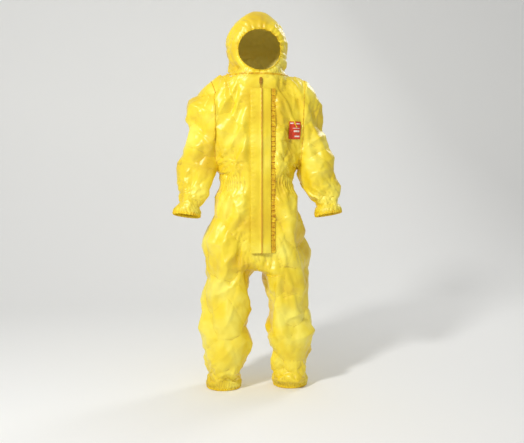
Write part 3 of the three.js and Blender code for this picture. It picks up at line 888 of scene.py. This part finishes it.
# ---- Cutting the hung cloth into its panels along the seams ----
seams = {
    "neck": 0.0,  # heights in metres from the neck seam
    "crotch": -0.845,
    "knee": -0.965,
    "armhole": 0.207,  # distance from the centre plane
    "armholeFoot": -0.42,
    "cuff": -0.66,
}


def sleeveEdge(z):
    # the sleeve is outside this distance from the centre plane
    return seams["armhole"] + 0.033 * np.clip((seams["armholeFoot"] - z) / 0.213, 0, 1)


def bisectAt(mesh, keep, point, normal):
    verts = [v for v in mesh.verts if keep(v.co)]
    faces = {f for v in verts for f in v.link_faces}
    geometry = verts + list(faces) + list({e for f in faces for e in f.edges})
    bmesh.ops.bisect_plane(mesh, geom=geometry, plane_co=point, plane_no=normal, dist=1e-5)


def concavity(places, faces, outward):
    # how deep each point lies in the creases, from 0 to 1; it masks the shade painted into the film's colour there
    total = np.zeros_like(places)
    count = np.zeros(len(places))
    for face in faces:
        for a, b in zip(face, face[1:] + face[:1]):
            total[a] += places[b]
            count[a] += 1
    rise = ((total / np.maximum(count, 1)[:, None] - places) * outward).sum(1)
    return np.clip(rise / (0.7 * mm), 0, 1)


def panelsOf(garment, rest):
    mesh = bmesh.new()
    mesh.from_mesh(garment.data)
    layer = mesh.verts.layers.float_vector.new("hung")
    for vert, place in zip(mesh.verts, rest):
        vert[layer] = vert.co
        vert.co = place
    flat = up, across
    for height in (seams["neck"], seams["crotch"], seams["knee"]):
        bisectAt(mesh, lambda p: abs(p.z - height) < 0.03 and abs(p.x) < 0.27, (0, 0, height), flat[0])
    for sign in (1, -1):
        edge = seams["armhole"] * sign
        bisectAt(
            mesh, lambda p: abs(p.x - edge) < 0.03 and seams["armholeFoot"] < p.z < 0, (edge, 0, 0), flat[1])
    bisectAt(mesh, lambda p: abs(p.x) < 0.03 and p.z < seams["crotch"] + 0.01, (0, 0, 0), flat[1])
    mesh.verts.index_update()
    rest = np.array([v.co for v in mesh.verts])
    hung = np.array([v[layer] for v in mesh.verts])
    faces = [[v.index for v in f.verts] for f in mesh.faces]
    centres = np.array([f.calc_center_median() for f in mesh.faces])
    mesh.free()
    whole = meshObject("whole", hung, faces)
    outward = normals(whole).copy()
    bpy.data.objects.remove(whole)
    # the concavity is the mask for the shade painted into the creases
    crease_shade_mask = concavity(hung, faces, outward)

    x, z = centres[:, 0], centres[:, 2]
    side = np.where(x > 0, "left", "right")
    region = np.full(len(faces), "torso_shell", dtype="<U32")
    leg = z < seams["crotch"]
    region[leg] = np.char.add(side[leg], np.where(z[leg] > seams["knee"], "_upper_leg_shell", "_lower_leg_shell"))
    arm = (np.abs(x) > sleeveEdge(z)) & (z > seams["cuff"]) & (z < 0)
    region[arm] = np.char.add(side[arm], "_sleeve_shell")
    region[z > seams["neck"]] = "hood_shell"
    panels = {}
    for name in np.unique(region):
        chosen = np.flatnonzero(region == name)
        used = np.unique(np.concatenate([faces[i] for i in chosen]))
        place = {int(v): i for i, v in enumerate(used)}
        panel = meshObject(str(name), hung[used], [[place[v] for v in faces[i]] for i in chosen])
        shadeSmooth(panel)
        panel.data.normals_split_custom_set_from_vertices(outward[used].tolist())
        attribute = panel.data.attributes.new("crease_shade_mask", "FLOAT", "POINT")
        attribute.data.foreach_set("value", crease_shade_mask[used])
        panels[str(name)] = (panel, rest[used], outward[used])
    return panels


def openLoop(panel, rest, chosen, centre, first, second):
    # the rim points that lie in chosen, in order round the centre, and the angle of each
    edges = np.array([tuple(e.vertices) for e in panel.data.edges])
    uses = np.zeros(len(edges), int)
    lookup = {tuple(sorted(e)): i for i, e in enumerate(edges.tolist())}
    for face in panel.data.polygons:
        for key in face.edge_keys:
            uses[lookup[tuple(sorted(key))]] += 1
    rim = np.unique(edges[uses == 1])
    rim = rim[chosen(rest[rim])]
    away = rest[rim] - np.array(centre)
    turn = np.arctan2(away @ np.array(second), away @ np.array(first))
    order = np.argsort(turn)
    return points(panel)[rim[order]], turn[order]


def evenLoop(places, turn, count):
    # the loop again, with evenly spaced points, a little smoothed
    grid = np.linspace(-math.pi, math.pi, count, endpoint=False)
    wide = np.concatenate([turn - 2 * math.pi, turn, turn + 2 * math.pi])
    tripled = np.concatenate([places, places, places])
    even = np.column_stack([np.interp(grid, wide, tripled[:, k]) for k in range(3)])
    for _ in range(2):
        even = (np.roll(even, 1, 0) + 2 * even + np.roll(even, -1, 0)) / 4
    return even, grid


# ---- Elastics and seam piping: closed bands that follow a loop ----
def bandAround(name, loop, axis, centre, width, thickness, pitch=0, height=0, bulge=0.0):
    axis = np.array(axis, float)
    loop = np.asarray(loop)
    outward = loop - np.array(centre)
    outward -= (outward @ axis)[:, None] * axis
    outward /= np.linalg.norm(outward, axis=1, keepdims=True)
    step = np.linalg.norm(np.roll(loop, -1, 0) - loop, axis=1)
    run = np.concatenate([[0], np.cumsum(step)[:-1]])
    ripple = np.zeros(len(loop))
    if pitch:
        waves = max(3, round(step.sum() / pitch))
        phase = run / step.sum() * 2 * math.pi
        ripple = np.sin(phase * waves + 1.3 * np.sin(phase * 5)) + 0.4 * np.sin(phase * round(waves * 1.7))
    sides = 12
    verts, faces = [], []
    for j in range(sides):
        turn = 2 * math.pi * j / sides
        along = math.copysign(abs(math.cos(turn)) ** 0.7, math.cos(turn)) * width / 2
        out = math.sin(turn) * thickness / 2
        lift = out + bulge + ripple * height * (0.6 + 0.4 * math.sin(turn))
        verts.append(loop + outward * lift[:, None] + axis * (along + 0.25 * height * ripple)[:, None])
    count = len(loop)
    verts = np.concatenate(verts)
    for j in range(sides):
        for i in range(count):
            a, b = j * count + i, j * count + (i + 1) % count
            c, d = (j + 1) % sides * count + (i + 1) % count, (j + 1) % sides * count + i
            faces.append((a, b, c, d))
    band = meshObject(name, verts, faces)
    shadeSmooth(band)
    return band


def gridSheet(name, surface, columns, rows, thickness=0.0):
    # a sheet over u and v from 0 to 1, with its UVs, closed to a thickness
    verts = [surface(i / columns, j / rows) for j in range(rows + 1) for i in range(columns + 1)]
    faces = [
        (j * (columns + 1) + i, j * (columns + 1) + i + 1, (j + 1) * (columns + 1) + i + 1, (j + 1) * (columns + 1) + i)
        for j in range(rows) for i in range(columns)
    ]
    sheet = meshObject(name, verts, faces)
    layer = sheet.data.uv_layers.new(name="UVMap")
    for loop in sheet.data.loops:
        row, column = divmod(loop.vertex_index, columns + 1)
        layer.data[loop.index].uv = (column / columns, row / rows)
    shadeSmooth(sheet)
    if thickness:
        solid = sheet.modifiers.new("thickness", "SOLIDIFY")
        solid.thickness = thickness
        solid.offset = -1
    return sheet


# ---- Front closure ----
closure = {
    "waves": 8,  # mm that the flap bows off the zip
    "flapThickness": 1.1,
    "puckerPitch": 11,
    "barPitch": 50,
    "toothPitch": 5,  # mm, a number 5 moulded zip has a tooth every 3 mm; 5 mm shows in the render
}


def buildFlap():
    low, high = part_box("storm_flap")
    bandLow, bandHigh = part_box("flap_seam_band")
    root = 0.1  # share of the sheet's width in the turn at its fold
    front = low[1] + closure["flapThickness"] * mm

    def surface(u, v):
        z = low[2] + v * (high[2] - low[2])
        if u < root:
            turn = u / root * math.pi / 2
            x = high[0] + 0.002 - 0.004 * (1 - math.cos(turn))
            y = bandLow[1] - 0.0006 + (front - bandLow[1] + 0.0006) * math.sin(turn)
            share = 0
        else:
            share = (u - root) / (1 - root)
            x = high[0] - 0.002 + (low[0] + 0.002 - high[0] + 0.002) * share
            y = front
        bow = math.sin(share * math.pi) ** 0.7 if 0 < share < 1 else 0
        noiseAt = Vector((x * 26, 0, z * 11))
        lift = (0.6 + 0.8 * noise.noise(noiseAt)) * bow
        ridge = math.exp(-((x - 0.002) / 0.0055) ** 2) * 0.9
        edge = max(0, share - 0.75) / 0.25
        pucker = 0.35 * math.sin(z / (closure["puckerPitch"] * mm) * math.pi + 3 * noise.noise(Vector((3, 1, z * 14))))
        y -= closure["waves"] * mm * max(0, lift * 0.8 + ridge * (0.7 + 0.3 * pucker) + pucker * edge * bow)
        sway = 0.003 * noise.noise(Vector((9, 4, z * 6))) * edge
        return x + sway, y, z

    flap = gridSheet("storm_flap_sheet", surface, 72, 300)
    solid = flap.modifiers.new("thickness", "SOLIDIFY")
    solid.thickness = closure["flapThickness"] * mm
    solid.offset = 1
    dress(flap, yellowFlap)
    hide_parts("storm_flap")
    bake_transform(flap)


def buildSeamBand():
    low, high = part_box("flap_seam_band")

    def surface(u, v):
        z = low[2] + v * (high[2] - low[2])
        x = low[0] + u * (high[0] + 0.004 - low[0])
        x += 0.0016 * noise.noise(Vector((2, 8, z * 20)))
        pucker = math.sin(z / (closure["puckerPitch"] * mm) * 2 * math.pi + 4 * noise.noise(Vector((1, 1, z * 9))))
        y = low[1] - 0.0012 * pucker * (0.35 + 0.65 * abs(2 * u - 1)) - 0.0012 * math.sin(u * math.pi)
        return x, y, z

    band = gridSheet("flap_seam_band_sheet", surface, 14, 420, -0.0008)
    dress(band, seamTape)
    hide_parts("flap_seam_band")
    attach(band, "suit")

    # tacks that hold the pleats, drawn as dark ochre bars that also stand for the short pleat shadows beside them,
    # painted shade
    bars = []
    height = high[2] - 0.03
    while height > low[2] + 0.02:
        tilt = random.uniform(-0.0025, 0.0025)
        half = random.uniform(0.0014, 0.0026)
        inner, outer = low[0] + random.uniform(0.001, 0.004), high[0] + random.uniform(-0.004, 0.003)

        def tack(u, v, height=height, tilt=tilt, half=half, inner=inner, outer=outer):
            x = inner + (outer - inner) * u
            z = height + tilt * (2 * u - 1) + half * (2 * v - 1) * (0.7 + 0.3 * math.sin(u * 9))
            return x, low[1] - 0.0033 - 0.0009 * math.sin(v * math.pi) - 0.0004 * math.sin(u * 40), z

        bars.append(gridSheet("tack", tack, 16, 4, 0.0008))
        height -= closure["barPitch"] * mm * random.uniform(0.75, 1.2) * 0.5
    for bar in bars:
        applyModifiers(bar)
    tacks = joined(bars, "flap_band_tacks_and_pleat_shade")
    dress(tacks, tackThreadAndPleatShade)
    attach(tacks, "suit")


def buildZip():
    for side in ("left", "right"):
        low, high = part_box(side + "_zip_tape")

        def tape(u, v, low=low, high=high):
            return low[0] + u * (high[0] - low[0]), low[1], low[2] + v * (high[2] - low[2])

        strip = gridSheet(side + "_zip_tape_strip", tape, 6, 60, -(high[1] - low[1]) * 0.8)
        dress(strip, zipTape)
        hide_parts(side + "_zip_tape")
        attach(strip, "suit")
        low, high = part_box(side + "_zip_teeth")
        bottom, top = Vector(low), Vector(high)
        verts, faces = [], []
        pitch = closure["toothPitch"] * mm
        sign = 1 if side == "left" else -1
        inner, outer = min(abs(low[0]), abs(high[0])), max(abs(low[0]), abs(high[0]))
        start = bottom.z + (0 if side == "left" else pitch / 2)
        for step in range(int((top.z - start) / pitch)):
            foot = start + step * pitch
            outline = [
                (outer, 0.1), (inner + 0.0018, 0.1), (inner + 0.0012, 0.02), (inner, 0.06), (inner, 0.5),
                (inner + 0.0012, 0.54), (inner + 0.0018, 0.46), (outer, 0.46),
            ]
            for y in (bottom.y, top.y):
                verts += [(x * sign, y, foot + share * pitch) for x, share in outline]
            base, count = len(verts) - 16, 8
            faces += [(base + i, base + (i + 1) % 8, base + 8 + (i + 1) % 8, base + 8 + i) for i in range(count)]
            faces += [tuple(base + i for i in reversed(range(8))), tuple(base + 8 + i for i in range(8))]
        teeth = meshObject(side + "_zip_teeth_row", verts, faces)
        bevel = teeth.modifiers.new("round", "BEVEL")
        bevel.width = 0.0003
        dress(teeth, mouldedTeeth)
        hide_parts(side + "_zip_teeth")
        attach(teeth, "suit")

    low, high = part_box("zip_guard")

    def guard(u, v):
        z = low[2] + v * (high[2] - low[2])
        return low[0] + u * (high[0] - low[0]), high[1] - 0.0006 + 0.0012 * noise.noise(Vector((u * 3, 5, z * 16))), z

    backing = gridSheet("zip_guard_sheet", guard, 16, 160, 0.0006)
    dress(backing, paleLaminate)
    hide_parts("zip_guard")
    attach(backing, "suit")


def buildLabel(torso):
    low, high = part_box("chest_label")
    tree = BVHTree.FromObject(torso, bpy.context.evaluated_depsgraph_get())

    def front(x, z):
        reach = []
        for dx, dz in ((0, 0), (0.012, 0), (-0.012, 0), (0, 0.012), (0, -0.012)):
            hit = tree.ray_cast(Vector((x + dx, -0.5, z + dz)), rear)[0]
            if hit:
                reach.append(hit.y)
        return min(reach) * 0.5 + sum(reach) / len(reach) * 0.5

    depth = {}
    for i in range(9):
        for j in range(13):
            x = low[0] + (high[0] - low[0]) * i / 8
            z = low[2] + (high[2] - low[2]) * j / 12
            depth[i, j] = front(x, z)

    def surface(u, v):
        i, j = min(int(u * 8), 7), min(int(v * 12), 11)
        s, t = u * 8 - i, v * 12 - j
        y = (
            depth[i, j] * (1 - s) * (1 - t) + depth[i + 1, j] * s * (1 - t)
            + depth[i, j + 1] * (1 - s) * t + depth[i + 1, j + 1] * s * t
        )
        return low[0] + u * (high[0] - low[0]), y - 0.0018, low[2] + v * (high[2] - low[2])

    label = gridSheet("chest_label_print", surface, 32, 48, 0.0005)
    dress(label, orangeLabel)
    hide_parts("chest_label")
    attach(label, "suit")


# ---- Building the suit ----
def cutOf(panel, rest):
    # the cut before it was hung: the outline's girth, length and area, with the cloth that was let in
    outline = panel.data.copy()
    outline.vertices.foreach_set("co", rest.ravel())
    letIn = 1 + drape["excess"]
    area = sum(face.area for face in outline.polygons) * letIn ** 2
    bpy.data.meshes.remove(outline)
    short, middle, long = np.sort(np.ptp(rest, axis=0)) * letIn
    return 2 * (short + middle), long, area


def buildPanels():
    garment, rest = hangGarment()
    restCopy = garment.copy()
    restCopy.data = garment.data.copy()
    bpy.context.scene.collection.objects.link(restCopy)
    setPoints(restCopy, rest)
    for piece in (garment, restCopy):
        finer = piece.modifiers.new("finer", "SUBSURF")
        finer.levels = 1
        applyModifiers(piece)
    rest, outward = points(restCopy), normals(restCopy).copy()
    bpy.data.objects.remove(restCopy)
    setPoints(garment, keepInBox(pressCreases(points(garment), rest, outward)))
    print("creases pressed")
    panels = panelsOf(garment, rest)
    bpy.data.objects.remove(garment)
    return panels


def keepInBox(places):
    # eases points that stand too far outside the frame's box back towards it
    low, high = (np.array(corner) for corner in cadBox)
    slack = np.array([0.022, 0.012, 0.03])
    for corner, sign in ((low, -1), (high, 1)):
        over = np.maximum((places - corner) * sign, 0)
        places = places - sign * (over - slack * np.tanh(over / slack))
    places[:, 2] = np.maximum(places[:, 2], rowHeight(0))
    return places


def mirrorName(side, rest):
    return f"{side}_{rest}"


elbow = sleeveFrame(3 / 6)


def placePanels(panels):
    hood = panels["hood_shell"][0]
    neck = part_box("neck_elastic")
    replaced = {
        "hood_shell": ("hood_centre_panel", "left_hood_panel", "right_hood_panel"),
        "torso_shell": ("left_front_panel", "right_front_panel", "back_panel", "crotch_gusset"),
    }
    for side in ("left", "right"):
        replaced[side + "_sleeve_shell"] = (side + "_upper_sleeve", side + "_lower_sleeve")
        replaced[side + "_upper_leg_shell"] = (side + "_upper_leg",)
        replaced[side + "_lower_leg_shell"] = (side + "_lower_leg",)
    for name, (panel, rest, outward) in panels.items():
        dress(panel, yellowFilm)
        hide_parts(*replaced[name])
        width, length, area = cutOf(panel, rest)
    followJoints("torso_shell", panels["torso_shell"][0])
    for name, (panel, rest, outward) in panels.items():
        if name != "torso_shell":
            followJoints(name, panel)
    inner = hood.modifiers.new("lining", "SOLIDIFY")
    inner.thickness = 0.0012
    inner.offset = -1
    inner.use_rim = True
    hood.data.materials.append(paleLaminate)
    inner.material_offset = 1
    inner.material_offset_rim = 0


def followJoints(name, piece):
    # the torso panel goes on the suit's body; every other panel only has its transform baked and follows no joint
    if name.startswith("torso"):
        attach(piece, "suit")
    elif name.startswith("hood"):
        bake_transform(piece)
    elif "sleeve" in name:
        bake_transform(piece)
    elif "upper_leg" in name:
        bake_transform(piece)
    else:
        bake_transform(piece)


def buildBands(panels):
    hood, hoodRest = panels["hood_shell"][:2]
    faceHeight = rowHeight(cut["face"][0])
    loop, turn = openLoop(
        hood, hoodRest, lambda p: (p[:, 2] > 0.005) & (p[:, 1] < 0), (0, 0, faceHeight), (1, 0, 0), (0, 0, 1))
    loop, grid = evenLoop(loop, turn, 420)
    ring = bandAround(
        "face_elastic_casing", loop + [0, 0.004, 0], (0, 1, 0), (0, 0, faceHeight), 0.013, 0.0055, 0.0105, 0.0016, -0.001)
    dress(ring, casing)
    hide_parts("hood_face_elastic")
    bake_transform(ring)

    # piping at the neck seam, level all round
    loop, turn = openLoop(hood, hoodRest, lambda p: np.abs(p[:, 2]) < 0.004, (0, 0, 0), (1, 0, 0), (0, 1, 0))
    loop, grid = evenLoop(loop, turn, 360)
    piping = bandAround("neck_seam_piping", loop, (0, 0, 1), (0, 0, 0), 0.008, 0.0035, 0.009, 0.0006, 0.0006)
    dress(piping, seamTape)
    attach(piping, "suit")
    for node, height, name in (("neck_elastic", None, "neck_elastic_band"), ("waist_elastic", 955, "waist_elastic_band")):
        low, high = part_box(node)
        middle = (low[2] + high[2]) / 2
        halfWidth, depth = trunkAt(middle / mm + cut["neckHeight"])
        count = 260
        places = ringPoints(
            Vector((0, 0, middle)), across, rear, (halfWidth - 6.5) * mm, (cut["strip"] - 9) * mm,
            (depth - 6.5) * mm, cut["boxiness"], count)
        band = bandAround(name, [tuple(p) for p in places], (0, 0, 1), (0, 0, middle), high[2] - low[2], 0.0016, 0.012, 0.0009)
        dress(band, elasticBand)
        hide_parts(node)
        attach(band, "suit")

    for side in ("left", "right"):
        sign = 1 if side == "left" else -1
        sleeve, sleeveRest = panels[side + "_sleeve_shell"][:2]
        centre, along, across_, back, radius = sleeveFrame(1)
        centre, along = Vector((centre.x * sign, centre.y, centre.z)), Vector((along.x * sign, along.y, along.z))
        level = lambda p: np.abs((p - np.array(centre)) @ np.array(along)) < 0.004
        loop, turn = openLoop(sleeve, sleeveRest, level, centre, (1, 0, 0), (0, 1, 0))
        loop, grid = evenLoop(loop, turn, 300)
        cuff = bandAround(
            side + "_cuff_casing", loop + np.array(along) * 0.006, along, centre, 0.014, 0.0045, 0.0085, 0.0013, 0.0008)
        dress(cuff, casing)
        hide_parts(side + "_wrist_elastic")
        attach(cuff, side + "_forearm")

        shin, shinRest = panels[side + "_lower_leg_shell"][:2]
        hem = np.array([cut["leg"][0][1] * sign * mm, cut["leg"][0][2] * mm, rowHeight(0)])
        loop, turn = openLoop(shin, shinRest, lambda p: p[:, 2] < hem[2] + 0.004, hem, (1, 0, 0), (0, 1, 0))
        loop, grid = evenLoop(loop, turn, 340)
        ankle = bandAround(
            side + "_hem_casing", loop + [0, 0, 0.0085], (0, 0, 1), hem, 0.016, 0.0045, 0.0095, 0.0013, 0.0008)
        dress(ankle, casing)
        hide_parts(side + "_ankle_elastic")
        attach(ankle, side + "_shin")

        armhole = np.array([seams["armhole"] * sign, 0.005, rowHeight(1240)])
        loop, turn = openLoop(
            sleeve, sleeveRest, lambda p: np.abs(np.abs(p[:, 0]) - seams["armhole"]) < 0.002, armhole, (0, 1, 0), (0, 0, 1))
        loop, grid = evenLoop(loop, turn, 300)
        seam = bandAround(side + "_armhole_piping", loop, (sign, 0, 0), armhole, 0.0045, 0.0028, 0.006, 0.0003, 0.0002)
        dress(seam, seamTape)
        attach(seam, "suit")


def buildHardware():
    for node, material in (
        ("zip_slider", sliderMetal), ("zip_pull_tab", sliderMetal), ("left_zip_top_stop", mouldedTeeth),
        ("right_zip_top_stop", mouldedTeeth), ("zip_bottom_stop", mouldedTeeth), ("flap_adhesive_strip", adhesivePaper),
    ):
        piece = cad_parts[node]
        for slot in piece.material_slots:
            slot.material = material


card = buildStudio()
card.data.materials.append(studioCard())
areaLight("key_softbox", (-2.4, -3.0, 2.0), (0, 0, -0.4), 0.6, 135)
areaLight("front_softbox", (0.4, -4.6, 1.6), (0, 0, -0.7), 2.4, 6)
areaLight("rim_softbox", (2.4, 2.0, 1.6), (0, 0, -0.4), 1.2, 30)
world = bpy.data.worlds.new("soft_daylight")
world.use_nodes = True
sky = world.node_tree.nodes["Background"]
sky.inputs["Color"].default_value = (1, 1, 1, 1)
sky.inputs["Strength"].default_value = 0.42
bpy.context.scene.view_settings.view_transform = "Standard"    # keeps the yellow film saturated
bpy.context.scene.world = world
print("studio ready")

panels = buildPanels()
print("panels cut:", ", ".join(sorted(panels)))
buildBands(panels)
print("elastics and piping sewn")
placePanels(panels)
buildSeamBand()
buildFlap()
buildZip()
buildLabel(panels["torso_shell"][0])
buildHardware()
print("closure and label fitted")
